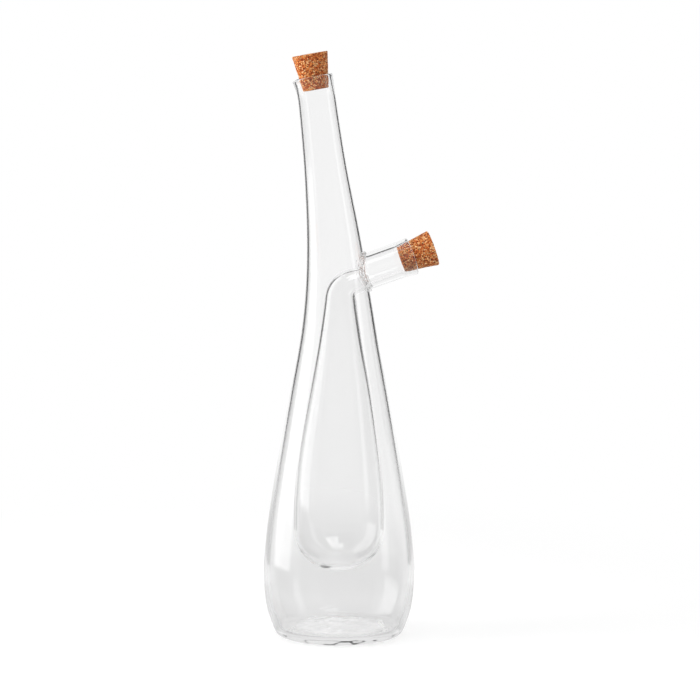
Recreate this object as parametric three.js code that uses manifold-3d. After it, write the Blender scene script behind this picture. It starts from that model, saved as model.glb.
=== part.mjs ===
// Two-chamber glass drizzler for oil and vinegar: a leaning bottle, a flask fused inside it
// that pours through a side spout, and a tapered cork in each mouth.
// Lengths are in millimetres and angles in degrees. +Z is up, and the origin is the middle of the
// flat underside. The neck leans towards -X and the side spout points towards +X.

import * as THREE from 'three';
import { mergeVertices } from 'three/addons/utils/BufferGeometryUtils.js';
import Module from 'manifold-3d';

// Bottle
const bottleHeight = 269.6; // along the bottle's own axis, from the underside to the rim
const bodyRadius = 36.2; // outside, at the belly
const bellyHeight = 35;
const footRadius = 24.4; // of the flat underside
const bodyWall = 1.8;
const baseThickness = 3;
const neckBendStart = 139; // along the axis
const neckBendLength = 66;
const neckLean = 6.9;
const mouthBendLength = 10;
const mouthLean = 3.2; // on top of the neck's lean
const mouthBore = 7.4; // radius inside both mouths, which take the same cork
const mouthWall = 1.4; // at the rim
const neckWall = 0.9; // below the rim
const mouthRimHeight = 7; // of the thicker rim
const pourLipHeight = 4.5;
const pourLipFlare = 1.1;
const pourLipDroop = 0.8;

// Side spout
const spoutHeight = 175; // along the bottle's axis, where the spout's axis meets the wall
const spoutRise = 19.2; // above the horizontal
const spoutLength = 23.3; // from the bottle's wall to the rim
const spoutBore = 6.65; // its mouth opens to the cork's taper
const spoutWall = 2;
const spoutLipHeight = 3.4;
const spoutLipFlare = 0.6;
const spoutLipDroop = 0.3;

// Inner flask
const flaskRadius = 21.9; // outside, at its widest
const flaskBowlHeight = 14; // from its lowest point to its full width
const flaskFloorGap = 28; // between the bottle's floor and the flask
const flaskWall = 1.6;
const flaskNeckRadius = 5.3; // outside, where it goes through the bottle's wall
const flaskBendRadius = 12;

// Bead of melted glass round the spout's root
const beadReach = 1.6;
const beadRise = 2.2;
const beadCrownShare = 0.8; // of the bead's rise, halfway across it

// Corks
const corkLength = 17;
const corkHeadExtra = 1.29; // head radius over the mouth's bore
const corkTipLess = 1.26; // tip radius under the mouth's bore
const corkChamfer = 0.45;

const seam = 0.3; // left between pieces that touch
const overrun = 8; // by which a form goes past what trims it

// Outlines as shares of the lengths and widths that they run between: [how far along, how wide]
const heelShares = [[0, 0], [0.0143, 0.16], [0.0286, 0.3], [0.057, 0.45], [0.1, 0.552],
  [0.2, 0.67], [0.371, 0.845], [0.629, 0.965], [1, 1]];
const bottleShares = [[0, 1], [0.0725, 0.944], [0.158, 0.8375], [0.256, 0.6895], [0.362, 0.522],
  [0.469, 0.35], [0.567, 0.236], [0.682, 0.1385], [0.81, 0.052], [0.91, 0.017], [1, 0]];
const flaskShares = [[0, 1], [0.09, 1], [0.22, 0.941], [0.329, 0.837], [0.51, 0.602],
  [0.691, 0.343], [0.83, 0.17], [0.88, 0.121], [0.92, 0.077], [0.96, 0.038], [1, 0]];

const bottleSides = 40;
const flaskSides = 32;
const tubeSides = 32;
const heelSteps = 12;
const bodySteps = 24;
const flaskSteps = 24;
const bowlSteps = 7;
const rimSteps = 4;

const wasm = await Module();
wasm.setup();

const radians = THREE.MathUtils.degToRad;
const spoutOuter = spoutBore + spoutWall;
const flaskBottom = baseThickness + flaskFloorGap;
const corkTaper = (corkHeadExtra + corkTipLess) / corkLength; // radius lost along the cork
// The flask's neck lies this far below the spout's axis, so that their lower sides meet and drain
const flaskNeckDrop = spoutBore - (flaskNeckRadius - flaskWall);

// An axis in the XZ plane made of straight and turning stretches. It gives the place and the
// heading at a distance along it, and goes straight on past its end.
function bentAxis(stretches) {
  return (distance) => {
    const at = { x: 0, z: 0, turn: 0 };
    let left = distance;
    for (const { length, turn = 0 } of stretches) {
      const part = Math.min(left, length);
      moveAlong(at, part, turn * part / length);
      left -= part;
    }
    moveAlong(at, left, 0);
    return at;
  };
}

function moveAlong(at, length, turn) {
  if (turn === 0) {
    at.x += length * Math.sin(at.turn);
    at.z += length * Math.cos(at.turn);
  } else {
    const radius = length / turn;
    at.x += radius * (Math.cos(at.turn) - Math.cos(at.turn + turn));
    at.z += radius * (Math.sin(at.turn + turn) - Math.sin(at.turn));
    at.turn += turn;
  }
}

// Turns an outline of [radius, height] points round +Z, and bends the result along an axis
function turned(outline, sides, axis) {
  const points = outline.map(([radius, height]) => new THREE.Vector2(radius, height));
  const geometry = new THREE.LatheGeometry(points, sides).rotateX(Math.PI / 2);
  if (axis) {
    reshape(geometry, (point) => {
      const { x, z, turn } = axis(point.z);
      point.set(x + point.x * Math.cos(turn), point.y, z - point.x * Math.sin(turn));
    });
  }
  return geometry;
}

function reshape(geometry, change) {
  const places = geometry.attributes.position;
  const point = new THREE.Vector3();
  for (let i = 0; i < places.count; i += 1) {
    point.fromBufferAttribute(places, i);
    change(point);
    places.setXYZ(i, point.x, point.y, point.z);
  }
  return geometry;
}

function solidOf(geometry) {
  const bare = geometry.clone();
  bare.deleteAttribute('normal');
  bare.deleteAttribute('uv');
  const merged = mergeVertices(bare);
  const corners = merged.index.array;
  const triangles = [];
  for (let i = 0; i < corners.length; i += 3) {
    const [a, b, c] = corners.subarray(i, i + 3);
    if (a !== b && b !== c && c !== a) triangles.push(a, b, c);
  }
  return new wasm.Manifold(new wasm.Mesh({
    numProp: 3,
    vertProperties: new Float32Array(merged.attributes.position.array),
    triVerts: new Uint32Array(triangles),
  }));
}

function geometryOf(solid) {
  const mesh = solid.getMesh();
  const geometry = new THREE.BufferGeometry();
  geometry.setAttribute('position', new THREE.BufferAttribute(mesh.vertProperties, 3));
  geometry.setIndex(new THREE.BufferAttribute(mesh.triVerts, 1));
  geometry.computeVertexNormals();
  return geometry;
}

// A smooth line through shares, as [radius, height] points between two ends
function outlineThrough(shares, steps, [lowRadius, lowHeight], [highRadius, highHeight]) {
  const knots = shares.map(([along, across]) => new THREE.Vector3(across, along, 0));
  const curve = new THREE.CatmullRomCurve3(knots, false, 'centripetal');
  return curve.getPoints(steps).map((share) => [
    THREE.MathUtils.lerp(lowRadius, highRadius, share.x),
    THREE.MathUtils.lerp(lowHeight, highHeight, share.y),
  ]);
}

// The rounded rim of a tube, from outside to inside
function rimOutline(bore, wall, height) {
  const round = wall / 2;
  const points = [];
  for (let i = 0; i <= rimSteps; i += 1) {
    const angle = Math.PI * i / rimSteps;
    points.push([bore + round + round * Math.cos(angle), height - round + round * Math.sin(angle)]);
  }
  return points;
}

// Pulls one side of a rim outwards and down, as a pouring lip. side is 1 for +X and -1 for -X.
function pullLip(geometry, rimHeight, side, lip) {
  return reshape(geometry, (point) => {
    if (point.z <= rimHeight - lip.height) return;
    const radius = Math.hypot(point.x, point.y);
    const facing = Math.max(0, side * point.x / radius) ** 2;
    const rise = THREE.MathUtils.smoothstep(point.z, rimHeight - lip.height, rimHeight);
    const widen = 1 + facing * rise * lip.flare / radius;
    point.set(point.x * widen, point.y * widen, point.z - facing * rise * lip.droop);
  });
}

const bottleAxis = bentAxis([
  { length: neckBendStart },
  { length: neckBendLength, turn: -radians(neckLean) },
  { length: bottleHeight - neckBendStart - neckBendLength - mouthBendLength },
  { length: mouthBendLength, turn: -radians(mouthLean) },
]);

// One side of the bottle's outline, from the edge of its base to its mouth
function bottleSide(baseRadius, baseHeight, belly, mouth) {
  const heel = outlineThrough(heelShares, heelSteps, [baseRadius, baseHeight], [belly, bellyHeight]);
  const above = outlineThrough(bottleShares, bodySteps, [mouth, bellyHeight], [belly, bottleHeight]);
  return heel.concat(above.slice(1));
}

function bendBottle(outline) {
  const straight = turned(outline, bottleSides);
  const lip = { height: pourLipHeight, flare: pourLipFlare, droop: pourLipDroop };
  const lipped = pullLip(straight, bottleHeight, -1, lip);
  return reshape(lipped, (point) => {
    const { x, z, turn } = bottleAxis(point.z);
    point.set(x + point.x * Math.cos(turn), point.y, z - point.x * Math.sin(turn));
  });
}

// The bottle filled in, grown sideways
function bottleForm(grow) {
  const outer = bottleSide(footRadius + grow, 0, bodyRadius + grow, mouthBore + mouthWall + grow);
  return turned([[0, 0], ...outer, [0, bottleHeight]], bottleSides, bottleAxis);
}

// Where the bottle's outside is on its +X side, at a distance along its axis
function pointOnWall(distance) {
  const side = bottleSide(footRadius, 0, bodyRadius, mouthBore + mouthWall);
  const next = side.findIndex(([, height]) => height >= distance);
  const [[lowRadius, lowHeight], [highRadius, highHeight]] = [side[next - 1], side[next]];
  const share = (distance - lowHeight) / (highHeight - lowHeight);
  const radius = THREE.MathUtils.lerp(lowRadius, highRadius, share);
  const { x, z, turn } = bottleAxis(distance);
  return { x: x + radius * Math.cos(turn), z: z - radius * Math.sin(turn), radius };
}

// Frames: the bottle's mouth, the side spout's root on the bottle's wall, and the spout's mouth
const drizzler = new THREE.Group();
const mouthFrame = new THREE.Group();
const spoutFrame = new THREE.Group();
const spoutMouthFrame = new THREE.Group();
const flaskFrame = new THREE.Group();
drizzler.add(mouthFrame, spoutFrame, flaskFrame);
spoutFrame.add(spoutMouthFrame);

const mouthPlace = bottleAxis(bottleHeight);
mouthFrame.position.set(mouthPlace.x, 0, mouthPlace.z);
mouthFrame.rotation.y = mouthPlace.turn;

const rise = radians(spoutRise);
const spoutPlace = pointOnWall(spoutHeight);
spoutFrame.position.set(spoutPlace.x, 0, spoutPlace.z);
spoutFrame.rotation.y = Math.PI / 2 - rise;
spoutMouthFrame.position.z = spoutLength;
flaskFrame.position.z = flaskBottom;
drizzler.updateMatrixWorld(true);

function inFrame(frame, geometry) {
  return geometry.applyMatrix4(frame.matrixWorld.clone().invert());
}

// The flask's axis: straight up, round a bend, then along the spout to the bottle's wall
const flaskExit = {
  x: spoutPlace.x + flaskNeckDrop * Math.sin(rise),
  z: spoutPlace.z - flaskNeckDrop * Math.cos(rise) - flaskBottom,
};
const flaskTurn = Math.PI / 2 - rise;
const flaskReach = (flaskExit.x - flaskBendRadius * (1 - Math.cos(flaskTurn))) / Math.cos(rise);
const flaskStraight = flaskExit.z - flaskBendRadius * Math.sin(flaskTurn)
  - flaskReach * Math.sin(rise);
const flaskLength = flaskStraight + flaskBendRadius * flaskTurn + flaskReach;
const flaskAxis = bentAxis([
  { length: flaskStraight },
  { length: flaskBendRadius * flaskTurn, turn: flaskTurn },
]);

// One side of the flask's outline, moved inwards, or outwards where inset is negative
function flaskSide(inset) {
  const bowl = [];
  for (let i = 0; i < bowlSteps; i += 1) {
    const angle = Math.PI / 2 * i / bowlSteps;
    const radius = (flaskRadius - inset) * Math.sin(angle);
    bowl.push([radius, flaskBowlHeight - (flaskBowlHeight - inset) * Math.cos(angle)]);
  }
  const neck = flaskNeckRadius - inset;
  const wide = flaskRadius - inset;
  const above = outlineThrough(flaskShares, flaskSteps, [neck, flaskBowlHeight], [wide, flaskLength]);
  return [...bowl, ...above, [neck, flaskLength + overrun]];
}

function outerBottle() {
  const mouthRadius = mouthBore + mouthWall;
  const outer = bottleSide(footRadius, 0, bodyRadius, mouthRadius);
  const inner = bottleSide(footRadius - bodyWall, baseThickness, bodyRadius - bodyWall,
    mouthRadius - neckWall).filter(([, height]) => height < bottleHeight - mouthRimHeight);
  const rim = rimOutline(mouthBore, mouthWall, bottleHeight);
  const shell = bendBottle([[0, 0], ...outer.slice(0, -1), ...rim, ...inner.reverse(),
    [0, baseThickness]]);
  const flask = turned([...flaskSide(-seam), [0, flaskLength + overrun]], flaskSides, flaskAxis);
  flask.applyMatrix4(flaskFrame.matrixWorld);
  return geometryOf(solidOf(shell).subtract(solidOf(flask)));
}

function innerFlask() {
  const shell = turned([...flaskSide(0), ...flaskSide(flaskWall).reverse()], flaskSides, flaskAxis);
  const bottle = inFrame(flaskFrame, bottleForm(0));
  return geometryOf(solidOf(shell).intersect(solidOf(bottle)));
}

function sideSpout() {
  const rim = rimOutline(mouthBore, spoutOuter - mouthBore, spoutLength);
  const entry = spoutLength - (mouthBore - spoutBore) / corkTaper;
  const outline = [[spoutOuter, -overrun], [spoutOuter, spoutLength - spoutLipHeight], ...rim,
    [spoutBore, entry], [spoutBore, -overrun], [spoutOuter, -overrun]];
  const lip = { height: spoutLipHeight, flare: spoutLipFlare, droop: spoutLipDroop };
  const tube = pullLip(turned(outline, tubeSides), spoutLength, 1, lip);
  const bottle = inFrame(spoutFrame, bottleForm(seam));
  return geometryOf(solidOf(tube).subtract(solidOf(bottle)));
}

// A fillet ring that follows the bottle's wall: its foot drops away where the wall curves back
function spoutBead() {
  const inner = spoutOuter + seam;
  const outer = spoutOuter + beadReach;
  const crown = [(inner + outer) / 2, beadRise * beadCrownShare];
  const outline = [[inner, -overrun], [outer, -overrun], [outer, 0], crown, [inner, beadRise],
    [inner, -overrun]];
  const above = pointOnWall(spoutHeight + spoutOuter);
  const below = pointOnWall(spoutHeight - spoutOuter);
  const wallLean = Math.atan2(below.x - above.x, above.z - below.z);
  const slope = Math.tan(wallLean - rise);
  const ring = reshape(turned(outline, tubeSides), (point) => {
    const sag = spoutPlace.radius - Math.sqrt(spoutPlace.radius ** 2 - point.y ** 2);
    point.z += point.x * slope - sag;
  });
  const bottle = inFrame(spoutFrame, bottleForm(seam));
  return geometryOf(solidOf(ring).subtract(solidOf(bottle)));
}

function cork() {
  const tip = mouthBore - corkTipLess;
  const head = mouthBore + corkHeadExtra;
  const seat = (corkTipLess - seam) / corkTaper;
  const outline = [[0, -seat], [tip - corkChamfer, -seat], [tip, corkChamfer - seat],
    [head, corkLength - seat - corkChamfer], [head - corkChamfer, corkLength - seat],
    [0, corkLength - seat]];
  return geometryOf(solidOf(turned(outline, tubeSides)));
}

function glass() {
  return new THREE.MeshStandardMaterial({
    color: 0xe8efee, roughness: 0.04, metalness: 0, transparent: true, opacity: 0.35,
  });
}

function agglomeratedCork() {
  return new THREE.MeshStandardMaterial({ color: 0xb9743f, roughness: 0.9, metalness: 0 });
}

function addPiece(frame, name, geometry, material) {
  const piece = new THREE.Mesh(geometry, material);
  piece.name = name;
  frame.add(piece);
}

addPiece(drizzler, 'outer_bottle', outerBottle(), glass());
addPiece(flaskFrame, 'inner_flask', innerFlask(), glass());
addPiece(spoutFrame, 'side_spout', sideSpout(), glass());
addPiece(spoutFrame, 'spout_bead', spoutBead(), glass());
addPiece(mouthFrame, 'neck_cork', cork(), agglomeratedCork());
addPiece(spoutMouthFrame, 'spout_cork', cork(), agglomeratedCork());

export default drizzler;
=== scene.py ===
# Oil and vinegar drizzler: a leaning glass bottle, a flask fused inside it that pours through a
# side spout, and a cork in each mouth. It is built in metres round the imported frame.
import math

import bpy
from mathutils import Matrix, Vector


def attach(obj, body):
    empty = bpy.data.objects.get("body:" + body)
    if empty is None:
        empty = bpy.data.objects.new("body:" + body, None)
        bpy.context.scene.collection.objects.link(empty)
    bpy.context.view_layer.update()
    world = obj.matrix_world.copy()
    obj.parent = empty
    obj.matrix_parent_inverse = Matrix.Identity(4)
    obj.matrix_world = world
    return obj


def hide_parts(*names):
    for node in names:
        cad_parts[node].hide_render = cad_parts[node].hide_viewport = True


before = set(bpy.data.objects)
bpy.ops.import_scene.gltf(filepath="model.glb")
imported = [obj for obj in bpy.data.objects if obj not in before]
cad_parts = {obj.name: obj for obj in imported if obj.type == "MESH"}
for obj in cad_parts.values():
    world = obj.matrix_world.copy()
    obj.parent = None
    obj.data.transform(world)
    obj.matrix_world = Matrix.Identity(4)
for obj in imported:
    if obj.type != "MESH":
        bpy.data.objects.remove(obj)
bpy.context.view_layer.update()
print("frame loaded with", len(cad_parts), "nodes")

mm = 0.001
touch = 0.001 * mm  # places closer than this are one


# Camera at the photograph's viewing angle
cameraView = {
    "place": (-0.15157, -1.44206, 0.28068),
    "target": (0.00525, -0.00055, 0.13851),
    "lens": 156.9,
}


def addCamera(view):
    data = bpy.data.cameras.new("camera")
    data.lens = view["lens"]
    data.sensor_width = 36
    holder = bpy.data.objects.new("camera", data)
    bpy.context.scene.collection.objects.link(holder)
    holder.location = view["place"]
    gaze = Vector(view["target"]) - Vector(view["place"])
    holder.rotation_euler = gaze.to_track_quat("-Z", "Y").to_euler()
    bpy.context.scene.camera = holder


addCamera(cameraView)
print("camera placed")


# Colours and nodes
def linearColour(hexValue):
    values = []
    for start in (1, 3, 5):
        share = int(hexValue[start:start + 2], 16) / 255
        values.append(share / 12.92 if share <= 0.04045 else ((share + 0.055) / 1.055) ** 2.4)
    return (*values, 1)


def addNode(tree, kind, settings=None, **links):
    # settings holds the node's own values and, under a number or a name, its inputs' values.
    # links holds a socket or a value for an input: in0 is the first.
    node = tree.nodes.new(kind)
    for name, value in (settings or {}).items():
        if isinstance(name, int) or name in node.inputs:
            node.inputs[name].default_value = value
        else:
            setattr(node, name, value)
    for name, source in links.items():
        slot = node.inputs[int(name[2:])] if name.startswith("in") else node.inputs[name]
        if isinstance(source, bpy.types.NodeSocket):
            tree.links.new(source, slot)
        else:
            slot.default_value = source
    return node


def newMaterial(name):
    material = bpy.data.materials.new(name)
    material.use_nodes = True
    material.node_tree.nodes.clear()
    return material, material.node_tree


# Borosilicate glass, blown at the lamp and fire polished: clear, with clean reflections that
# bend a little where the wall isn't quite even. Lamps shine through it onto what it holds.
glassLook = {
    "tint": "#fefefe",
    "ior": 1.474,
    "shadowTint": "#fbfbfb",
    "ripple": 26 * mm,
    "rippleDepth": 0.05 * mm,
}


def borosilicateGlass(look):
    material, tree = newMaterial("borosilicateGlass")
    place = addNode(tree, "ShaderNodeTexCoord")
    ripple = addNode(tree, "ShaderNodeTexNoise",
                     {"Scale": 1 / look["ripple"], "Detail": 1.0, "Roughness": 0.4},
                     Vector=place.outputs["Object"])
    bump = addNode(tree, "ShaderNodeBump",
                   {"Strength": 1.0, "Distance": look["rippleDepth"]},
                   Height=ripple.outputs["Fac"])
    glass = addNode(tree, "ShaderNodeBsdfPrincipled",
                    {"Base Color": linearColour(look["tint"]), "Roughness": 0.0,
                     "IOR": look["ior"], "Transmission Weight": 1.0},
                    Normal=bump.outputs["Normal"])
    clear = addNode(tree, "ShaderNodeBsdfTransparent", {"Color": linearColour(look["shadowTint"])})
    path = addNode(tree, "ShaderNodeLightPath")
    both = addNode(tree, "ShaderNodeMixShader", None, Fac=path.outputs["Is Shadow Ray"],
                   in1=glass.outputs["BSDF"], in2=clear.outputs["BSDF"])
    addNode(tree, "ShaderNodeOutputMaterial", None, Surface=both.outputs["Shader"])
    return material


# Agglomerated cork, ground and pressed with a binder, then turned: orange tan granules with dark
# brown bits of bark, fully matte, with small open pits
corkLook = {
    "granule": 0.7 * mm,
    "warp": 0.9,  # how far a granule's edge wanders, as a share of its size
    "fleck": 0.45 * mm,
    "grain": 0.25 * mm,
    "colours": ("#964018", "#bc5a26", "#da8440", "#f8c48e"),
    "middles": (0.3, 0.65),  # where the two middle colours stand between the outer ones
    "bark": "#3a1806",
    "barkEdge": (0.53, 0.59),
    "bumpDepth": 0.07 * mm,
    "roughness": 0.85,
    "ior": 1.45,
}


def agglomeratedCork(look):
    material, tree = newMaterial("agglomeratedCork")
    place = addNode(tree, "ShaderNodeTexCoord")
    wobble = addNode(tree, "ShaderNodeTexNoise", {"Scale": 1 / look["granule"], "Detail": 2.0},
                     Vector=place.outputs["Object"])
    shift = addNode(tree, "ShaderNodeVectorMath",
                    {"operation": "SCALE", "Scale": look["granule"] * look["warp"]},
                    in0=wobble.outputs["Color"])
    warped = addNode(tree, "ShaderNodeVectorMath", {"operation": "ADD"},
                     in0=place.outputs["Object"], in1=shift.outputs["Vector"])
    granules = addNode(tree, "ShaderNodeTexVoronoi", {"Scale": 1 / look["granule"]},
                       Vector=warped.outputs["Vector"])
    pick = addNode(tree, "ShaderNodeSeparateColor", None, Color=granules.outputs["Color"])
    shades = addNode(tree, "ShaderNodeValToRGB", None, Fac=pick.outputs["Red"])
    ramp = shades.color_ramp
    ramp.elements[0].color = linearColour(look["colours"][0])
    ramp.elements[1].color = linearColour(look["colours"][-1])
    for share, colour in zip(look["middles"], look["colours"][1:3]):
        ramp.elements.new(share).color = linearColour(colour)
    flecks = addNode(tree, "ShaderNodeTexNoise",
                     {"Scale": 1 / look["fleck"], "Detail": 3.0, "Roughness": 0.65},
                     Vector=place.outputs["Object"])
    barkShare = addNode(tree, "ShaderNodeMapRange",
                        {"interpolation_type": "SMOOTHSTEP", "From Min": look["barkEdge"][0],
                         "From Max": look["barkEdge"][1]},
                        Value=flecks.outputs["Fac"])
    body = addNode(tree, "ShaderNodeMix",
                   {"data_type": "RGBA", 7: linearColour(look["bark"])},
                   in0=barkShare.outputs["Result"], in6=shades.outputs["Color"])
    grain = addNode(tree, "ShaderNodeTexNoise", {"Scale": 1 / look["grain"], "Detail": 2.0},
                    Vector=place.outputs["Object"])
    heights = addNode(tree, "ShaderNodeMath", {"operation": "SUBTRACT"},
                      in0=grain.outputs["Fac"], in1=barkShare.outputs["Result"])
    bump = addNode(tree, "ShaderNodeBump", {"Strength": 1.0, "Distance": look["bumpDepth"]},
                   Height=heights.outputs["Value"])
    surface = addNode(tree, "ShaderNodeBsdfPrincipled",
                      {"Roughness": look["roughness"], "IOR": look["ior"]},
                      in0=body.outputs[2], Normal=bump.outputs["Normal"])
    addNode(tree, "ShaderNodeOutputMaterial", None, Surface=surface.outputs["BSDF"])
    return material


# Studio: a pale sweep with a soft box on each side. Two dark cards stand close behind the bottle
# with a white gap between them, which draws the edges of the glass. Only light that mirrors off
# the glass sees the boxes and the cards; what is seen straight through it is white. Angles are
# in degrees, distances in metres, and a level of 1 is white.
studio = {
    "front": -6.0,  # azimuth of the side that the camera looks from
    "roomLevel": 0.4,
    "ceilingLevel": 0.2,
    "ceilingStart": 35,
    "ceilingEnd": 62,
    "guidedAfter": 4.5,  # reflections after which light is taken as guided inside the wall
    "guidedLevel": 0.8,
    "ambient": 0.46,  # lights what isn't glass
    # turn is a box's middle, round from the front, and half its half width. Where two overlap,
    # the later one shows.
    "boxes": [
        {"turn": -80, "half": 14, "low": -4, "high": 65, "soft": 8, "level": 0.9},
        {"turn": -102, "half": 20, "low": -5.4, "high": 62, "soft": 1.2, "level": 2.15},
        {"turn": 95, "half": 28, "low": -4, "high": 65, "soft": 10, "level": 0.42},
        {"turn": 77, "half": 6, "low": -4, "high": 65, "soft": 3, "level": 1.5},
        {"turn": 22.5, "half": 20, "low": 33, "high": 76, "soft": 1.8, "level": 3.4},
        {"turn": 8, "half": 34, "low": 56, "high": 76, "soft": 1.8, "level": 3.4},
        {"turn": 0, "half": 55, "low": 9, "high": 23, "soft": 5, "level": 0.62},
        {"turn": 180, "half": 62, "low": -72, "high": -4, "soft": 8, "level": 0.9},  # the paper
    ],
}
sweep = {
    "colour": "#ebebeb",
    "radius": 6.0,
    "lift": 0.26,  # makes the near floor white to the camera
    "glassLift": 0.03,  # this much of it shows in the glass
    "underLift": 0.06,  # and this much under the base, painted light that lifts the shade there
    "start": 0.12,  # from here to the end it fades to white
    "end": 0.5,
    "widen": 1.8,  # it fades this much sooner to the sides than to the back
}
# The floor round the base, as light that mirrors off the glass sees it, with a painted contact
# shadow round the foot
disc = {
    "front": 0.6,
    "behind": 0.78,
    "turnover": (-0.01, 0.02),  # distance behind the middle where one level becomes the other
    "end": 0.14,
    "soft": 0.2,  # share of the end over which it fades
    "underEnd": 0.028,
    "underSoft": 0.1,
    "underLevel": 0.8,
    "ring": 20.6 * mm,  # painted contact shadow: the thin dark line where the base touches the floor
    "ringHalf": 0.4 * mm,
    # how dark the painted contact shadow is
    "ringLevel": 0.1,
    "ringWander": 5 * mm,  # breaks the painted shadow line up, as an uneven foot does
    "ringWaves": 140.0,  # per metre
}
cards = {
    "away": 0.3,
    "half": 52,  # they reach this far round on each side of straight behind
    "height": 0.6,
    "gapAbove": 22,  # half width of the white gap above and below the changeover
    "gapBelow": 44,
    "changeover": (0.03, 0.135),
    "gapHigh": 30,  # it widens again above the mouth
    "widening": (0.26, 0.3),
    "gapLow": 18,  # near the floor only this much of it is white, and its sides are grey
    "greying": (0.02, 0.08),
    "greyLevel": 0.64,
    "gapTop": 0.44,
    "soft": 0.03,
    "leftLevel": 0.13,
    "rightLevel": 0.07,
}


def headingVector(turn):
    angle = math.radians(studio["front"] + turn)
    return (math.sin(angle), -math.cos(angle), 0)


def boxMask(tree, direction, box):
    flat = addNode(tree, "ShaderNodeVectorMath", {"operation": "MULTIPLY", 1: (1, 1, 0)},
                   in0=direction)
    level = addNode(tree, "ShaderNodeVectorMath", {"operation": "NORMALIZE"},
                    in0=flat.outputs["Vector"])
    facing = addNode(tree, "ShaderNodeVectorMath",
                     {"operation": "DOT_PRODUCT", 1: headingVector(box["turn"])},
                     in0=level.outputs["Vector"])
    across = addNode(tree, "ShaderNodeMapRange",
                     {"interpolation_type": "SMOOTHSTEP",
                      "From Min": math.cos(math.radians(box["half"] + box["soft"])),
                      "From Max": math.cos(math.radians(box["half"] - box["soft"]))},
                     Value=facing.outputs["Value"])
    unit = addNode(tree, "ShaderNodeVectorMath", {"operation": "NORMALIZE"}, in0=direction)
    parts = addNode(tree, "ShaderNodeSeparateXYZ", None, Vector=unit.outputs["Vector"])
    above = addNode(tree, "ShaderNodeMapRange",
                    {"interpolation_type": "SMOOTHSTEP",
                     "From Min": math.sin(math.radians(box["low"] - box["soft"])),
                     "From Max": math.sin(math.radians(box["low"] + box["soft"]))},
                    Value=parts.outputs["Z"])
    below = addNode(tree, "ShaderNodeMapRange",
                    {"interpolation_type": "SMOOTHSTEP", "To Min": 1, "To Max": 0,
                     "From Min": math.sin(math.radians(box["high"] - box["soft"])),
                     "From Max": math.sin(math.radians(min(90, box["high"] + box["soft"])))},
                    Value=parts.outputs["Z"])
    tall = addNode(tree, "ShaderNodeMath", {"operation": "MULTIPLY"},
                   in0=above.outputs["Result"], in1=below.outputs["Result"])
    mask = addNode(tree, "ShaderNodeMath", {"operation": "MULTIPLY"},
                   in0=tall.outputs["Value"], in1=across.outputs["Result"])
    return mask.outputs["Value"]


def mirroredLevel(tree, direction):
    unit = addNode(tree, "ShaderNodeVectorMath", {"operation": "NORMALIZE"}, in0=direction)
    parts = addNode(tree, "ShaderNodeSeparateXYZ", None, Vector=unit.outputs["Vector"])
    room = addNode(tree, "ShaderNodeMapRange",
                   {"interpolation_type": "SMOOTHSTEP", "To Min": studio["roomLevel"],
                    "To Max": studio["ceilingLevel"],
                    "From Min": math.sin(math.radians(studio["ceilingStart"])),
                    "From Max": math.sin(math.radians(studio["ceilingEnd"]))},
                   Value=parts.outputs["Z"])
    level = room.outputs["Result"]
    for box in studio["boxes"]:
        mixed = addNode(tree, "ShaderNodeMix", None, in0=boxMask(tree, direction, box),
                        in2=level, in3=box["level"])
        level = mixed.outputs[0]
    return level


def mirroredShare(tree, path):
    # One for light that has mirrored off the glass, nought for the rest
    mirrored = addNode(tree, "ShaderNodeMath", {"operation": "GREATER_THAN"},
                       in0=path.outputs["Glossy Depth"], in1=0.5)
    return mirrored.outputs["Value"]


def seenLevel(tree, path, direction):
    # White for what is seen directly or straight through, the studio for what is mirrored, and
    # one soft level for light that has run along inside the wall
    guided = addNode(tree, "ShaderNodeMath", {"operation": "GREATER_THAN"},
                     in0=path.outputs["Glossy Depth"], in1=studio["guidedAfter"])
    around = addNode(tree, "ShaderNodeMix", None, in0=guided.outputs["Value"],
                     in2=mirroredLevel(tree, direction), in3=studio["guidedLevel"])
    seen = addNode(tree, "ShaderNodeMix", None, in0=mirroredShare(tree, path),
                   in2=1.0, in3=around.outputs[0])
    return seen.outputs[0]


def eyeShare(tree, path):
    # One for what the camera sees, also in and through the glass, nought for what lights things
    first = addNode(tree, "ShaderNodeMath", {"operation": "ADD"},
                    in0=path.outputs["Is Camera Ray"], in1=path.outputs["Is Glossy Ray"])
    second = addNode(tree, "ShaderNodeMath", {"operation": "ADD", "use_clamp": True},
                     in0=first.outputs["Value"], in1=path.outputs["Is Transmission Ray"])
    return second.outputs["Value"]


def buildWorld():
    world = bpy.data.worlds.new("studio")
    bpy.context.scene.world = world
    world.use_nodes = True
    tree = world.node_tree
    tree.nodes.clear()
    path = addNode(tree, "ShaderNodeLightPath")
    place = addNode(tree, "ShaderNodeTexCoord")
    seen = seenLevel(tree, path, place.outputs["Generated"])
    level = addNode(tree, "ShaderNodeMix", None, in0=eyeShare(tree, path),
                    in2=studio["ambient"], in3=seen)
    glow = addNode(tree, "ShaderNodeBackground", {"Color": (1, 1, 1, 1)},
                   Strength=level.outputs[0])
    addNode(tree, "ShaderNodeOutputWorld", None, Surface=glow.outputs["Background"])


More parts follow.
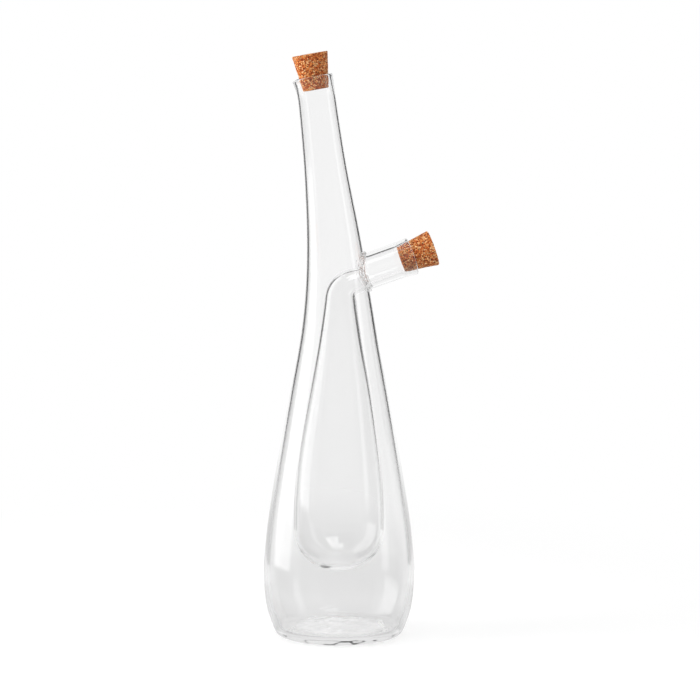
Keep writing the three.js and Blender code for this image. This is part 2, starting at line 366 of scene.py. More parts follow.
def sweepShader(tree, path, place, underEdge):
    # Paper that fades to white, as the eye sees it
    paper = addNode(tree, "ShaderNodeBsdfDiffuse", {"Color": linearColour(sweep["colour"])})
    inGlass = addNode(tree, "ShaderNodeMath", {"operation": "MAXIMUM"},
                      in0=path.outputs["Is Glossy Ray"], in1=path.outputs["Is Transmission Ray"])
    # Painted light: the floor under the base shows brighter in the glass, lifting its shade
    glassLift = addNode(tree, "ShaderNodeMix", None, in0=underEdge,
                        in2=sweep["underLift"], in3=sweep["glassLift"])
    some = addNode(tree, "ShaderNodeMath", {"operation": "MULTIPLY"},
                   in0=inGlass.outputs["Value"], in1=glassLift.outputs[0])
    lift = addNode(tree, "ShaderNodeMath", {"operation": "MULTIPLY_ADD"},
                   in0=path.outputs["Is Camera Ray"], in1=sweep["lift"],
                   in2=some.outputs["Value"])
    glow = addNode(tree, "ShaderNodeEmission", None, Strength=lift.outputs["Value"])
    near = addNode(tree, "ShaderNodeAddShader", None,
                   in0=paper.outputs["BSDF"], in1=glow.outputs["Emission"])
    far = addNode(tree, "ShaderNodeEmission")
    widened = addNode(tree, "ShaderNodeVectorMath",
                      {"operation": "MULTIPLY", 1: (sweep["widen"], 1, 1)},
                      in0=place.outputs["Object"])
    away = addNode(tree, "ShaderNodeVectorMath", {"operation": "LENGTH"},
                   in0=widened.outputs["Vector"])
    fade = addNode(tree, "ShaderNodeMapRange",
                   {"interpolation_type": "SMOOTHSTEP", "From Min": sweep["start"],
                    "From Max": sweep["end"]}, Value=away.outputs["Value"])
    share = addNode(tree, "ShaderNodeMath", {"operation": "MULTIPLY"},
                    in0=fade.outputs["Result"], in1=eyeShare(tree, path))
    both = addNode(tree, "ShaderNodeMixShader", None, Fac=share.outputs["Value"],
                   in1=near.outputs["Shader"], in2=far.outputs["Emission"])
    return both.outputs["Shader"]


def discShader(tree, place, reach, underEdge, discEdge):
    along = addNode(tree, "ShaderNodeVectorMath",
                    {"operation": "DOT_PRODUCT", 1: headingVector(180)},
                    in0=place.outputs["Object"])
    behind = addNode(tree, "ShaderNodeMapRange",
                     {"From Min": disc["turnover"][0], "From Max": disc["turnover"][1]},
                     Value=along.outputs["Value"])
    around = addNode(tree, "ShaderNodeMix", None, in0=behind.outputs["Result"],
                     in2=disc["front"], in3=disc["behind"])
    # Painted contact shadow: a dark ring, broken up by noise, where the base meets the floor
    wander = addNode(tree, "ShaderNodeTexNoise", {"Scale": disc["ringWaves"], "Detail": 1.0},
                     Vector=place.outputs["Object"])
    moved = addNode(tree, "ShaderNodeMath", {"operation": "MULTIPLY_ADD"},
                    in0=wander.outputs["Fac"], in1=disc["ringWander"], in2=reach)
    ring = addNode(tree, "ShaderNodeMath", {"operation": "COMPARE"},
                   in0=moved.outputs["Value"], in1=disc["ring"] + disc["ringWander"] / 2,
                   in2=disc["ringHalf"])
    under = addNode(tree, "ShaderNodeMix", None, in0=ring.outputs["Value"],
                    in2=disc["underLevel"], in3=disc["ringLevel"])
    level = addNode(tree, "ShaderNodeMix", None, in0=underEdge,
                    in2=under.outputs[0], in3=around.outputs[0])
    glow = addNode(tree, "ShaderNodeEmission", None, Strength=level.outputs[0])
    beyond = addNode(tree, "ShaderNodeBsdfTransparent")
    both = addNode(tree, "ShaderNodeMixShader", None, Fac=discEdge,
                   in1=glow.outputs["Emission"], in2=beyond.outputs["BSDF"])
    return both.outputs["Shader"]


def buildFloor():
    bpy.ops.object.select_all(action="DESELECT")
    bpy.ops.mesh.primitive_circle_add(vertices=96, radius=sweep["radius"], fill_type="NGON")
    floor = bpy.context.object
    floor.name = "floor"
    material, tree = newMaterial("paleSweep")
    path = addNode(tree, "ShaderNodeLightPath")
    place = addNode(tree, "ShaderNodeTexCoord")
    reach = addNode(tree, "ShaderNodeVectorMath", {"operation": "LENGTH"},
                    in0=place.outputs["Object"]).outputs["Value"]
    edges = []
    for end, soft in ((disc["underEnd"], disc["underSoft"]), (disc["end"], disc["soft"])):
        edge = addNode(tree, "ShaderNodeMapRange",
                       {"interpolation_type": "SMOOTHSTEP", "From Min": end * (1 - soft),
                        "From Max": end * (1 + soft)}, Value=reach)
        edges.append(edge.outputs["Result"])
    both = addNode(tree, "ShaderNodeMixShader", None, Fac=mirroredShare(tree, path),
                   in1=sweepShader(tree, path, place, edges[0]),
                   in2=discShader(tree, place, reach, *edges))
    addNode(tree, "ShaderNodeOutputMaterial", None, Surface=both.outputs["Shader"])
    floor.data.materials.append(material)


def gapShare(tree, facing, height):
    # The gap between the cards: facing is the cosine of the angle from straight behind
    low, high = cards["changeover"]
    gapEdge = addNode(tree, "ShaderNodeMapRange",
                      {"From Min": low, "From Max": high,
                       "To Min": math.cos(math.radians(cards["gapBelow"])),
                       "To Max": math.cos(math.radians(cards["gapAbove"]))}, Value=height)
    low, high = cards["widening"]
    highEdge = addNode(tree, "ShaderNodeMapRange",
                       {"From Min": low, "From Max": high, "To Min": 1.0,
                        "To Max": math.cos(math.radians(cards["gapHigh"]))}, Value=height)
    edge = addNode(tree, "ShaderNodeMath", {"operation": "MINIMUM"},
                   in0=gapEdge.outputs["Result"], in1=highEdge.outputs["Result"])
    inside = addNode(tree, "ShaderNodeMath", {"operation": "SUBTRACT"},
                     in0=facing, in1=edge.outputs["Value"])
    between = addNode(tree, "ShaderNodeMapRange",
                      {"interpolation_type": "SMOOTHSTEP", "From Min": -cards["soft"] / 2,
                       "From Max": cards["soft"] / 2}, Value=inside.outputs["Value"])
    below = addNode(tree, "ShaderNodeMath", {"operation": "LESS_THAN"},
                    in0=height, in1=cards["gapTop"])
    gap = addNode(tree, "ShaderNodeMath", {"operation": "MULTIPLY"},
                  in0=between.outputs["Result"], in1=below.outputs["Value"])
    return gap.outputs["Value"]


def gapLevel(tree, facing, height):
    low, high = cards["greying"]
    sides = addNode(tree, "ShaderNodeMapRange",
                    {"interpolation_type": "SMOOTHSTEP", "From Min": low, "From Max": high,
                     "To Min": cards["greyLevel"]}, Value=height)
    edge = math.cos(math.radians(cards["gapLow"]))
    middle = addNode(tree, "ShaderNodeMapRange",
                     {"interpolation_type": "SMOOTHSTEP", "From Min": edge - cards["soft"],
                      "From Max": edge + cards["soft"]}, Value=facing)
    level = addNode(tree, "ShaderNodeMix", None, in0=middle.outputs["Result"],
                    in2=sides.outputs["Result"], in3=1.0)
    return level.outputs[0]


def buildCards():
    bpy.ops.object.select_all(action="DESELECT")
    bpy.ops.mesh.primitive_circle_add(vertices=120, radius=cards["away"])
    screen = bpy.context.object
    screen.name = "edgeCards"
    bpy.ops.object.mode_set(mode="EDIT")
    bpy.ops.mesh.select_all(action="SELECT")
    bpy.ops.mesh.extrude_region_move(TRANSFORM_OT_translate={"value": (0, 0, cards["height"])})
    bpy.ops.object.mode_set(mode="OBJECT")
    behind = Vector(headingVector(180))
    reach = cards["away"] * math.cos(math.radians(cards["half"]))
    selectWhere(screen, lambda place: place.dot(behind) < reach)
    bpy.ops.mesh.delete(type="VERT")
    bpy.ops.object.mode_set(mode="OBJECT")
    material, tree = newMaterial("darkCards")
    path = addNode(tree, "ShaderNodeLightPath")
    place = addNode(tree, "ShaderNodeTexCoord")
    height = addNode(tree, "ShaderNodeSeparateXYZ", None,
                     Vector=place.outputs["Object"]).outputs["Z"]
    facing = addNode(tree, "ShaderNodeVectorMath",
                     {"operation": "DOT_PRODUCT", 1: behind / cards["away"]},
                     in0=place.outputs["Object"]).outputs["Value"]
    side = addNode(tree, "ShaderNodeVectorMath",
                   {"operation": "DOT_PRODUCT", 1: headingVector(90)},
                   in0=place.outputs["Object"])
    right = addNode(tree, "ShaderNodeMath", {"operation": "GREATER_THAN"},
                    in0=side.outputs["Value"], in1=0.0)
    dark = addNode(tree, "ShaderNodeMix", None, in0=right.outputs["Value"],
                   in2=cards["leftLevel"], in3=cards["rightLevel"])
    level = addNode(tree, "ShaderNodeMix", None, in0=gapShare(tree, facing, height),
                    in2=dark.outputs[0], in3=gapLevel(tree, facing, height))
    glow = addNode(tree, "ShaderNodeEmission", None, Strength=level.outputs[0])
    clear = addNode(tree, "ShaderNodeBsdfTransparent")
    both = addNode(tree, "ShaderNodeMixShader", None, Fac=mirroredShare(tree, path),
                   in1=clear.outputs["BSDF"], in2=glow.outputs["Emission"])
    addNode(tree, "ShaderNodeOutputMaterial", None, Surface=both.outputs["Shader"])
    screen.data.materials.append(material)
    screen.visible_camera = False
    screen.visible_diffuse = False
    screen.visible_shadow = False


# Lamps that light the corks and the floor; in the glass, the soft boxes above stand for them
lamps = [
    {"name": "leftLamp", "turn": -78, "lift": 18, "away": 1.2, "wide": 0.7, "tall": 1.0,
     "power": 17},
    {"name": "rightLamp", "turn": 60, "lift": 14, "away": 1.2, "wide": 0.5, "tall": 1.0,
     "power": 3},
    {"name": "topLamp", "turn": 5, "lift": 70, "away": 1.3, "wide": 0.9, "tall": 0.9,
     "power": 3},
]
lampTarget = (0, 0, 0.14)  # half way up the bottle


def addLamp(lamp):
    data = bpy.data.lights.new(lamp["name"], "AREA")
    data.shape = "RECTANGLE"
    data.size = lamp["wide"]
    data.size_y = lamp["tall"]
    data.energy = lamp["power"]
    holder = bpy.data.objects.new(lamp["name"], data)
    bpy.context.scene.collection.objects.link(holder)
    lift = math.radians(lamp["lift"])
    out = Vector(headingVector(lamp["turn"])) * math.cos(lift) + Vector((0, 0, math.sin(lift)))
    holder.location = Vector(lampTarget) + out * lamp["away"]
    holder.rotation_euler = (-out).to_track_quat("-Z", "Y").to_euler()
    holder.visible_camera = False
    holder.visible_glossy = False
    holder.visible_transmission = False


# Shaping helpers
def throughKnots(knots, steps):
    # Points on a smooth line through knots, by the centripetal Catmull-Rom rule
    ends = [2 * knots[0] - knots[1], *knots, 2 * knots[-1] - knots[-2]]
    points = []
    for step in range(steps + 1):
        along = (len(knots) - 1) * step / steps
        first = min(int(along), len(knots) - 2)
        share = along - first
        a, b, c, d = ends[first:first + 4]
        gaps = [(q - p).length ** 0.5 for p, q in ((a, b), (b, c), (c, d))]
        leave = ((b - a) / gaps[0] - (c - a) / (gaps[0] + gaps[1]) + (c - b) / gaps[1]) * gaps[1]
        arrive = ((c - b) / gaps[1] - (d - b) / (gaps[1] + gaps[2]) + (d - c) / gaps[2]) * gaps[1]
        cube = 2 * b - 2 * c + leave + arrive
        square = -3 * b + 3 * c - 2 * leave - arrive
        points.append(b + leave * share + square * share ** 2 + cube * share ** 3)
    return points


def outlineThrough(shares, steps, low, high):
    # [radius, height] points. low and high are two corners of the box they lie in, and each pair
    # of shares says how far up it a knot stands, and how far across.
    knots = [Vector((across, along)) for along, across in shares]
    return [[low[0] + (high[0] - low[0]) * point.x, low[1] + (high[1] - low[1]) * point.y]
            for point in throughKnots(knots, steps)]


def axisPlace(stretches, distance):
    # Middle and lean, in the XZ plane, at a distance along an axis of [length, turn] stretches
    x = z = lean = 0
    left = distance
    for length, turn in [*stretches, [math.inf, 0]]:
        part = min(left, length)
        if turn == 0:
            x += part * math.sin(lean)
            z += part * math.cos(lean)
        elif part > 0:
            bend = turn * part / length
            radius = part / bend
            x += radius * (math.cos(lean) - math.cos(lean + bend))
            z += radius * (math.sin(lean + bend) - math.sin(lean))
            lean += bend
        left -= part
        if left <= 0:
            break
    return Vector((x, 0, z)), lean


def blowTube(name, outline, stretches, sides):
    # Draws a ring out along an axis, as a tube of hot glass is. outline is [radius, height].
    swell = 6 / (4 + 2 * math.cos(2 * math.pi / sides))  # what the subdivision draws in
    middle, lean = axisPlace(stretches, outline[0][1])
    radius = outline[0][0] * swell
    bpy.ops.object.select_all(action="DESELECT")
    bpy.ops.mesh.primitive_circle_add(vertices=sides, radius=radius, location=middle,
                                      rotation=(0, lean, 0))
    piece = bpy.context.object
    piece.name = name
    bpy.ops.object.transform_apply(location=True, rotation=True, scale=True)
    bpy.ops.object.mode_set(mode="EDIT")
    bpy.ops.mesh.select_all(action="SELECT")
    for ring in outline[1:]:
        nextMiddle, nextLean = axisPlace(stretches, ring[1])
        bpy.ops.mesh.extrude_region_move(
            TRANSFORM_OT_translate={"value": nextMiddle - middle})
        bpy.ops.transform.resize(value=[ring[0] * swell / radius] * 3, center_override=nextMiddle)
        if nextLean != lean:
            bpy.ops.transform.rotate(value=lean - nextLean, orient_axis="Y",
                                     center_override=nextMiddle)
        middle, lean, radius = nextMiddle, nextLean, ring[0] * swell
    bpy.ops.object.mode_set(mode="OBJECT")
    return piece


def selectWhere(piece, test):
    bpy.ops.object.select_all(action="DESELECT")
    piece.select_set(True)
    bpy.context.view_layer.objects.active = piece
    bpy.ops.object.mode_set(mode="EDIT")
    bpy.ops.mesh.select_mode(type="VERT")
    bpy.ops.mesh.select_all(action="DESELECT")
    bpy.ops.object.mode_set(mode="OBJECT")
    for vertex in piece.data.vertices:
        vertex.select = test(vertex.co)
    bpy.ops.object.mode_set(mode="EDIT")


def closePole(piece, test):
    selectWhere(piece, test)
    bpy.ops.mesh.merge(type="CENTER")
    bpy.ops.object.mode_set(mode="OBJECT")


def closeRings(piece, test):
    # Joins two open rings face to face
    selectWhere(piece, test)
    bpy.ops.mesh.bridge_edge_loops()
    bpy.ops.object.mode_set(mode="OBJECT")


def pullLip(piece, tip, move, reach):
    # Draws the rim out round its point nearest the tip
    near = min((vertex.co - tip).length for vertex in piece.data.vertices)
    selectWhere(piece, lambda place: (place - tip).length < near + touch)
    bpy.ops.transform.translate(value=move, use_proportional_edit=True,
                                proportional_edit_falloff="SMOOTH", proportional_size=reach)
    bpy.ops.object.mode_set(mode="OBJECT")


def applyModifier(piece, name, kind, **settings):
    bpy.ops.object.select_all(action="DESELECT")
    piece.select_set(True)
    bpy.context.view_layer.objects.active = piece
    modifier = piece.modifiers.new(name, kind)
    for key, value in settings.items():
        setattr(modifier, key, value)
    bpy.ops.object.modifier_apply(modifier=name)


def finishPiece(piece, material, body, node):
    selectWhere(piece, lambda place: True)
    bpy.ops.mesh.normals_make_consistent(inside=False)
    bpy.ops.object.mode_set(mode="OBJECT")
    bpy.ops.object.shade_smooth()
    piece.data.materials.clear()
    piece.data.materials.append(material)
    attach(piece, body)
    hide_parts(node)
    print(piece.name, "finished with", len(piece.data.polygons), "faces")


buildWorld()
buildFloor()
buildCards()
for lamp in lamps:
    addLamp(lamp)
bpy.context.scene.view_settings.view_transform = "Standard"
bounces = 1024  # fewer leave black edges where light runs along inside the wall
bpy.context.scene.cycles.max_bounces = bounces
bpy.context.scene.cycles.transmission_bounces = bounces
bpy.context.scene.cycles.glossy_bounces = bounces
bpy.context.scene.cycles.transparent_max_bounces = bounces
print("studio built")


glass = borosilicateGlass(glassLook)
cork = agglomeratedCork(corkLook)


# Outer bottle
bottle = {
    "height": 269.6 * mm,  # along its own axis
    "bodyRadius": 36.2 * mm,
    "bellyHeight": 35 * mm,
    "footRadius": 24.4 * mm,
    "bodyWall": 1.8 * mm,
    "baseThickness": 3 * mm,
    "mouthBore": 7.4 * mm,
    "mouthWall": 1.4 * mm,
    "neckWall": 0.9 * mm,
    "rimWall": 1.8 * mm,  # the rim stands out a little from the neck
    "rimDrop": 1.5,  # the outside meets the rim this many of its widths below the top
    "rimHeight": 5 * mm,  # and the inside this far below it
    "lipFlare": 1.1 * mm,
    "lipDroop": 0.8 * mm,
    "lipReach": 9 * mm,
    "neckBendStart": 139 * mm,
    "neckBendLength": 66 * mm,
    "neckLean": math.radians(6.9),
    "mouthBendLength": 10 * mm,
    "mouthLean": math.radians(3.2),
    "sides": 64,
    "heelSteps": 18,
    "bodySteps": 52,
    "rimSteps": 6,
    # Knots of the side, as shares of the way up and across: foot to belly, then belly to mouth
    "heelShares": [[0, 0], [0.0143, 0.16], [0.0286, 0.3], [0.057, 0.45], [0.1, 0.552],
                   [0.2, 0.67], [0.371, 0.845], [0.629, 0.965], [1, 1]],
    "bodyShares": [[0, 1], [0.0725, 0.944], [0.158, 0.8375], [0.256, 0.6895], [0.362, 0.522],
                   [0.469, 0.35], [0.567, 0.236], [0.682, 0.1385], [0.81, 0.052],
                   [0.91, 0.017], [1, 0]],
    "poleShare": 0.12,  # rings under this share of the foot are closed to a point
    # The floor inside is raised in a ridge: shares of the foot's radius and of the rise
    "floorRise": 1.5 * mm,
    "floorShares": [[0.98, 0], [0.95, 0.15], [0.925, 0.5], [0.9, 0.85], [0.87, 1], [0.83, 1],
                    [0.78, 0.96], [0.72, 0.92], [0.64, 0.88], [0.56, 0.86], [0.48, 0.84],
                    [0.4, 0.82], [0.32, 0.8], [0.24, 0.8], [0.16, 0.8], [0.08, 0.8]],
    "wave": 7 * mm,  # ripples in the floor
    "waveDepth": 2.6 * mm,
    "waveDetail": 2,
    "waveMiddle": 0.5,
    "waveEnd": 25.5 * mm,  # they fade out towards this radius
    "waveFade": 3 * mm,
    "waveTop": 2.2,  # and stay below this many base thicknesses
}
bottleAxis = [
    [bottle["neckBendStart"], 0],
    [bottle["neckBendLength"], -bottle["neckLean"]],
    [bottle["height"] - bottle["neckBendStart"] - bottle["neckBendLength"]
     - bottle["mouthBendLength"], 0],
    [bottle["mouthBendLength"], -bottle["mouthLean"]],
]


def bottleSide(baseRadius, baseHeight, belly, mouth):
    heel = outlineThrough(bottle["heelShares"], bottle["heelSteps"],
                          [baseRadius, baseHeight], [belly, bottle["bellyHeight"]])
    above = outlineThrough(bottle["bodyShares"], bottle["bodySteps"],
                           [mouth, bottle["bellyHeight"]], [belly, bottle["height"]])
    return heel + above[1:]


def roundRim(bore, wall, height, steps):
    # Half a round, from the outside over the top to the bore
    points = []
    for step in range(steps + 1):
        angle = math.pi * step / steps
        points.append([bore + wall / 2 + wall / 2 * math.cos(angle),
                       height - wall / 2 + wall / 2 * math.sin(angle)])
    return points


def waveFloor(piece):
    low = bottle["baseThickness"]
    group = piece.vertex_groups.new(name="floor")
    for vertex in piece.data.vertices:
        share = min(1, (bottle["waveEnd"] - vertex.co.xy.length) / bottle["waveFade"])
        if low / 2 < vertex.co.z < bottle["waveTop"] * low and share > 0:
            group.add([vertex.index], share, "REPLACE")
    waves = bpy.data.textures.new("floorWaves", "CLOUDS")
    waves.noise_scale = bottle["wave"]
    waves.noise_depth = bottle["waveDetail"]
    applyModifier(piece, "waves", "DISPLACE", texture=waves, strength=bottle["waveDepth"],
                  mid_level=bottle["waveMiddle"], texture_coords="GLOBAL", direction="Z",
                  vertex_group="floor")
    piece.vertex_groups.clear()


def makeBottle():
    mouthRadius = bottle["mouthBore"] + bottle["mouthWall"]
    outer = bottleSide(bottle["footRadius"], 0, bottle["bodyRadius"], mouthRadius)
    innerFoot = bottle["footRadius"] - bottle["bodyWall"]
    inner = bottleSide(innerFoot, bottle["baseThickness"],
                       bottle["bodyRadius"] - bottle["bodyWall"],
                       mouthRadius - bottle["neckWall"])
    inner = [ring for ring in inner if ring[1] < bottle["height"] - bottle["rimHeight"]]
    outer = [ring for ring in outer
             if ring[1] < bottle["height"] - bottle["rimDrop"] * bottle["rimWall"]]
    rim = roundRim(bottle["mouthBore"], bottle["rimWall"], bottle["height"],
                   bottle["rimSteps"])
    under = [[bottle["footRadius"] * share, 0] for share, rise in bottle["floorShares"][::-2]]
    floor = [[innerFoot * share, bottle["baseThickness"] + bottle["floorRise"] * rise]
             for share, rise in bottle["floorShares"]]
    outline = under + outer + rim + inner[::-1] + floor
    piece = blowTube("bottleGlass", outline, bottleAxis, bottle["sides"])
    middle = bottle["poleShare"] * bottle["footRadius"]
    closePole(piece, lambda place: place.z < bottle["baseThickness"] / 2
              and place.xy.length < middle)
    closePole(piece, lambda place: bottle["baseThickness"] / 2 < place.z
              < 2 * bottle["baseThickness"] and place.xy.length < middle)
    mouth, lean = axisPlace(bottleAxis, bottle["height"])
    outwards = Vector((-math.cos(lean), 0, math.sin(lean)))
    pullLip(piece, mouth + outwards * mouthRadius,
            outwards * bottle["lipFlare"] - Vector((0, 0, bottle["lipDroop"])),
            bottle["lipReach"])
    waveFloor(piece)
    applyModifier(piece, "smooth", "SUBSURF", levels=1, render_levels=1)
    return piece


bottleGlass = makeBottle()


# Side spout's place on the bottle's wall
spout = {
    "height": 175 * mm,  # along the bottle's axis
    "rise": math.radians(19.2),
    "length": 23.3 * mm,
    "bore": 6.3 * mm,
    "wall": 2.35 * mm,
    "taper": 0.15,  # widens the bore to the mouth's size at its outer end
    "rimBead": 0.3 * mm,  # how far the rim stands out from the wall
    "lipFlare": 0.6 * mm,
    "lipDroop": 0.3 * mm,
    "lipReach": 8 * mm,
    "rootReach": 7 * mm,  # how far out the shape of the bottle's wall is followed
    "rootEdge": 0.1 * mm,
    "probe": 20 * mm,  # distance from which the bottle's wall is looked for
    "sides": 64,
    "rimSteps": 6,
    "steps": 10,
}


def wallRadius(distance):
    # The bottle's outer radius at a distance along its axis
    side = bottleSide(bottle["footRadius"], 0, bottle["bodyRadius"],
                      bottle["mouthBore"] + bottle["mouthWall"])
    for low, high in zip(side, side[1:]):
        if high[1] >= distance:
            share = (distance - low[1]) / (high[1] - low[1])
            return low[0] + (high[0] - low[0]) * share


def spoutFrame():
    # Z runs out along the spout, X down across it
    middle, lean = axisPlace(bottleAxis, spout["height"])
    root = middle + Vector((math.cos(lean), 0, -math.sin(lean))) * wallRadius(spout["height"])
    turn = Matrix.Rotation(math.pi / 2 - spout["rise"], 4, "Y")
    return Matrix.Translation(root) @ turn


spoutPlace = spoutFrame()


def wallDepth(across, sideways):
    # How far the bottle's wall lies behind the spout's root, at a place across the spout
    start = spoutPlace @ Vector((across, sideways, spout["probe"]))
    heading = spoutPlace.to_3x3() @ Vector((0, 0, -1))
    found, hit, normal, face = bottleGlass.ray_cast(start, heading)
    return (spoutPlace.inverted() @ hit).z if found else 0


# Inner flask
flask = {
    "radius": 21.8 * mm,
    "bowlHeight": 20.5 * mm,
    "bowlRound": 0.94,  # under 1, it joins the side more softly
    "floorGap": 29.4 * mm,  # from the bottle's floor up to the bowl
    "neckWall": 1.4 * mm,
    "bowlWall": 0.6 * mm,
    "bowlDrop": 0.5 * mm,  # how much thicker the bowl is in its middle, where it was closed
    "innerShift": 0.2 * mm,  # the wall is thicker on the spout's side
    "neckRadius": 5.3 * mm,
    "bendRadius": 8 * mm,
    "exitDrop": 2.4 * mm,  # how far under the spout's axis the neck leaves
    "leanStart": 45 * mm,
    "leanLength": 50 * mm,
    "lean": math.radians(1.7),
    "holeClearance": 0.05 * mm,  # between the neck and its hole in the bottle's wall
    "holeDepth": 12 * mm,
    "poleShare": 0.05,  # the first ring's share of the radius; it is closed to a point
    "poleReach": 0.06,
    "sides": 64,
    "bowlSteps": 10,
    "steps": 48,
    "shares": [[0, 1], [0.08, 0.995], [0.22, 0.918], [0.329, 0.802], [0.51, 0.562],
               [0.691, 0.308], [0.83, 0.152], [0.88, 0.11], [0.92, 0.07], [0.96, 0.035],
               [1, 0]],
}


def flaskRoute():
    # Height of its bottom, length to its opening, and the axis between them
    bottom = bottle["baseThickness"] + flask["floorGap"]
    leave = spoutPlace @ Vector((flask["exitDrop"], 0, 0))
    turn = math.pi / 2 - spout["rise"]
    lower = [[bottom + flask["leanStart"], 0], [flask["leanLength"] / 2, flask["lean"]],
             [flask["leanLength"] / 2, -flask["lean"]]]
    low = bottom + flask["leanStart"] + flask["leanLength"]
    start, lean = axisPlace(lower, low)
    reach = (leave.x - start.x - flask["bendRadius"] * (1 - math.cos(turn)))
    reach /= math.cos(spout["rise"])
    straight = (leave.z - start.z - flask["bendRadius"] * math.sin(turn)
                - reach * math.sin(spout["rise"]))
    length = low - bottom + straight + flask["bendRadius"] * turn + reach
    return bottom, length, [*lower, [straight, 0], [flask["bendRadius"] * turn, turn]]


def flaskOutline():
    bottom, length, route = flaskRoute()
    bowl = []
    for step in range(1, flask["bowlSteps"]):
        angle = math.pi / 2 * step / flask["bowlSteps"]
        bowl.append([flask["radius"] * math.sin(angle) ** flask["bowlRound"],
                     bottom + flask["bowlHeight"] * (1 - math.cos(angle) ** flask["bowlRound"])])
    above = outlineThrough(flask["shares"], flask["steps"],
                           [flask["neckRadius"], bottom + flask["bowlHeight"]],
                           [flask["radius"], bottom + length])
    return [[flask["radius"] * flask["poleShare"], bottom]] + bowl + above


def flaskInside(outline):
    # The wall is thick at the neck and thin round the bowl
    bottom = outline[0][1]
    inside = []
    for radius, height in outline:
        share = (radius - flask["neckRadius"]) / (flask["radius"] - flask["neckRadius"])
        below = max(0, bottom + flask["bowlHeight"] - height) / flask["bowlHeight"]
        wall = flask["neckWall"] + (flask["bowlWall"] - flask["neckWall"]) * max(share, below)
        inside.append([radius - wall * (1 - below ** 2),
                       height + wall * below ** 2 + flask["bowlDrop"] * below ** 2])
    inside[0][0] = outline[0][0]
    return inside


def makeFlask():
    bottom, length, route = flaskRoute()
    outer = flaskOutline()
    inner = flaskInside(outer)
    piece = blowTube("flaskGlass", outer + inner[::-1], route, flask["sides"])
    for vertex in piece.data.vertices[len(outer) * flask["sides"]:]:
        vertex.co.x -= flask["innerShift"]
    middle = flask["poleReach"] * flask["radius"]
    floor = bottom + flask["bowlWall"] / 2
    closePole(piece, lambda place: place.z < floor and place.xy.length < middle)
    closePole(piece, lambda place: floor < place.z < floor + 2 * flask["bowlDrop"]
              and place.xy.length < middle)
    applyModifier(piece, "smooth", "SUBSURF", levels=1, render_levels=1)
    return piece


def makeSpout():
    outerRadius = spout["bore"] + spout["wall"]
    straightEnd = spout["length"] - spout["wall"]
    outer = [[outerRadius, straightEnd * step / spout["steps"]]
             for step in range(spout["steps"] + 1)]
    rimWall = outerRadius + spout["rimBead"] - bottle["mouthBore"]
    rim = roundRim(bottle["mouthBore"], rimWall, spout["length"], spout["rimSteps"])
    entry = spout["length"] - (bottle["mouthBore"] - spout["bore"]) / spout["taper"]
    inner = [[spout["bore"], entry * step / spout["steps"]]
             for step in range(spout["steps"], -1, -1)]
    piece = blowTube("spoutGlass", outer + rim[1:] + inner, [], spout["sides"])
    closeRings(piece, lambda place: place.z < spout["rootEdge"])
    pullLip(piece, Vector((outerRadius, 0, spout["length"])),
            (spout["lipFlare"], 0, -spout["lipDroop"]), spout["lipReach"])
    for vertex in piece.data.vertices:  # the root follows the bottle's wall
        share = max(0, 1 - vertex.co.z / spout["rootReach"])
        vertex.co.z += wallDepth(vertex.co.x, vertex.co.y) * share
    piece.data.transform(spoutPlace)
    applyModifier(piece, "smooth", "SUBSURF", levels=1, render_levels=1)
    return piece


# Bead of melted glass where the spout is welded on
bead = {
    "thickness": 0.85 * mm,
    "outwards": 0.4 * mm,  # from the spout's wall to the middle of the bead
    "upwards": 0.5 * mm,  # and from the bottle's
    "lump": 2.4 * mm,
    "lumpDepth": 1.2 * mm,
    "lumpMiddle": 0.6,
    "segments": 96,
    "sides": 12,
}


def makeBead():
    ring = spout["bore"] + spout["wall"] + bead["outwards"]
    bpy.ops.object.select_all(action="DESELECT")
    bpy.ops.mesh.primitive_torus_add(major_radius=ring, minor_radius=bead["thickness"],
                                     major_segments=bead["segments"],
                                     minor_segments=bead["sides"])
    piece = bpy.context.object
    piece.name = "weldBead"
    for vertex in piece.data.vertices:
        vertex.co.z += wallDepth(vertex.co.x, vertex.co.y) + bead["upwards"]
    lumps = bpy.data.textures.new("weldLumps", "CLOUDS")
    lumps.noise_scale = bead["lump"]
    piece.data.transform(spoutPlace)
    applyModifier(piece, "lumps", "DISPLACE", texture=lumps, strength=bead["lumpDepth"],
                  mid_level=bead["lumpMiddle"], texture_coords="GLOBAL")
    applyModifier(piece, "smooth", "SUBSURF", levels=1, render_levels=1)
    return piece


flaskGlass = makeFlask()
spoutGlass = makeSpout()
weldBead = makeBead()


def openNeckHole():
    # The hole through the bottle's wall that the flask's neck leaves by
    bottom, length, route = flaskRoute()
    middle, lean = axisPlace(route, bottom + length)
    bpy.ops.object.select_all(action="DESELECT")
    bpy.ops.mesh.primitive_cylinder_add(vertices=flask["sides"],
                                        radius=flask["neckRadius"] + flask["holeClearance"],
                                        depth=flask["holeDepth"], location=middle,
                                        rotation=(0, lean, 0))
    cutter = bpy.context.object
    bpy.ops.object.transform_apply(location=True, rotation=True, scale=True)
    applyModifier(bottleGlass, "hole", "BOOLEAN", object=cutter, operation="DIFFERENCE",
                  solver="EXACT")
    bpy.data.objects.remove(cutter)


openNeckHole()
for piece, node in ((bottleGlass, "outer_bottle"), (flaskGlass, "inner_flask"),
                    (spoutGlass, "side_spout"), (weldBead, "spout_bead")):
    finishPiece(piece, glass, "bottle", node)


# Corks
stopper = {
    "length": 17 * mm,
    "headExtra": 1.27 * mm,  # the head's radius is this much more than the bore's
    "tipLess": 1.26 * mm,  # and the tip's this much less
    "chamfer": 0.3 * mm,
    "clearance": 0.3 * mm,
    "sides": 160,  # close rows and sides let the pits show in the mesh
    "rows": 48,
    "endRings": 12,
    "endRing": 0.5 * mm,
    "pit": 1.1 * mm,
    "pitDepth": 0.35 * mm,
    "pitDetail": 3,
    "pitMiddle": 0.8,
}


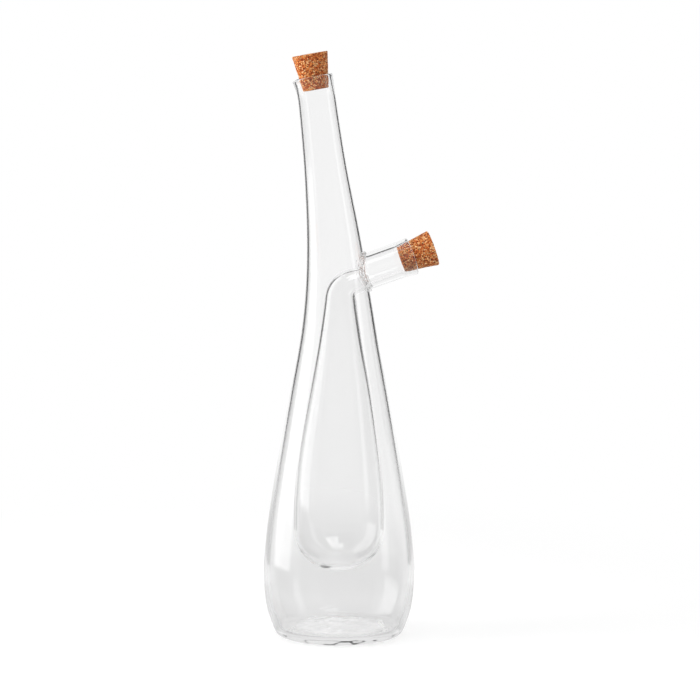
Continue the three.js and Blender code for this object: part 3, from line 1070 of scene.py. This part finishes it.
def makeCork(name, place, body, node):
    tip = bottle["mouthBore"] - stopper["tipLess"]
    head = bottle["mouthBore"] + stopper["headExtra"]
    taper = (head - tip) / stopper["length"]
    seat = (stopper["tipLess"] - stopper["clearance"]) / taper
    bpy.ops.object.select_all(action="DESELECT")
    bpy.ops.mesh.primitive_cone_add(vertices=stopper["sides"], radius1=tip, radius2=head,
                                    depth=stopper["length"],
                                    location=(0, 0, stopper["length"] / 2 - seat))
    piece = bpy.context.object
    piece.name = name
    bpy.ops.object.transform_apply(location=True, rotation=True, scale=True)
    bpy.ops.object.mode_set(mode="EDIT")
    for row in range(1, stopper["rows"]):
        height = stopper["length"] * row / stopper["rows"] - seat
        bpy.ops.mesh.select_all(action="SELECT")
        bpy.ops.mesh.bisect(plane_co=(0, 0, height), plane_no=(0, 0, 1))
    bpy.ops.object.mode_set(mode="OBJECT")
    for end in (-seat, stopper["length"] - seat):  # fills each end with rings
        selectWhere(piece, lambda spot: abs(spot.z - end) < touch)
        bpy.ops.mesh.bevel(offset=stopper["chamfer"], segments=1)
        bpy.ops.object.mode_set(mode="OBJECT")
        selectWhere(piece, lambda spot: abs(spot.z - end) < touch)
        for step in range(stopper["endRings"]):
            bpy.ops.mesh.inset(thickness=stopper["endRing"])
        bpy.ops.object.mode_set(mode="OBJECT")
    pits = bpy.data.textures.new(name + "Pits", "CLOUDS")
    pits.noise_scale = stopper["pit"]
    pits.noise_depth = stopper["pitDetail"]
    piece.data.transform(place)
    applyModifier(piece, "pits", "DISPLACE", texture=pits, strength=stopper["pitDepth"],
                  mid_level=stopper["pitMiddle"], texture_coords="GLOBAL")
    finishPiece(piece, cork, body, node)


mouthMiddle, mouthLean = axisPlace(bottleAxis, bottle["height"])
mouthPlace = Matrix.Translation(mouthMiddle) @ Matrix.Rotation(mouthLean, 4, "Y")
spoutMouth = spoutPlace @ Matrix.Translation((0, 0, spout["length"]))
makeCork("neckCork", mouthPlace, "neck_stopper", "neck_cork")
makeCork("spoutCork", spoutMouth, "spout_stopper", "spout_cork")
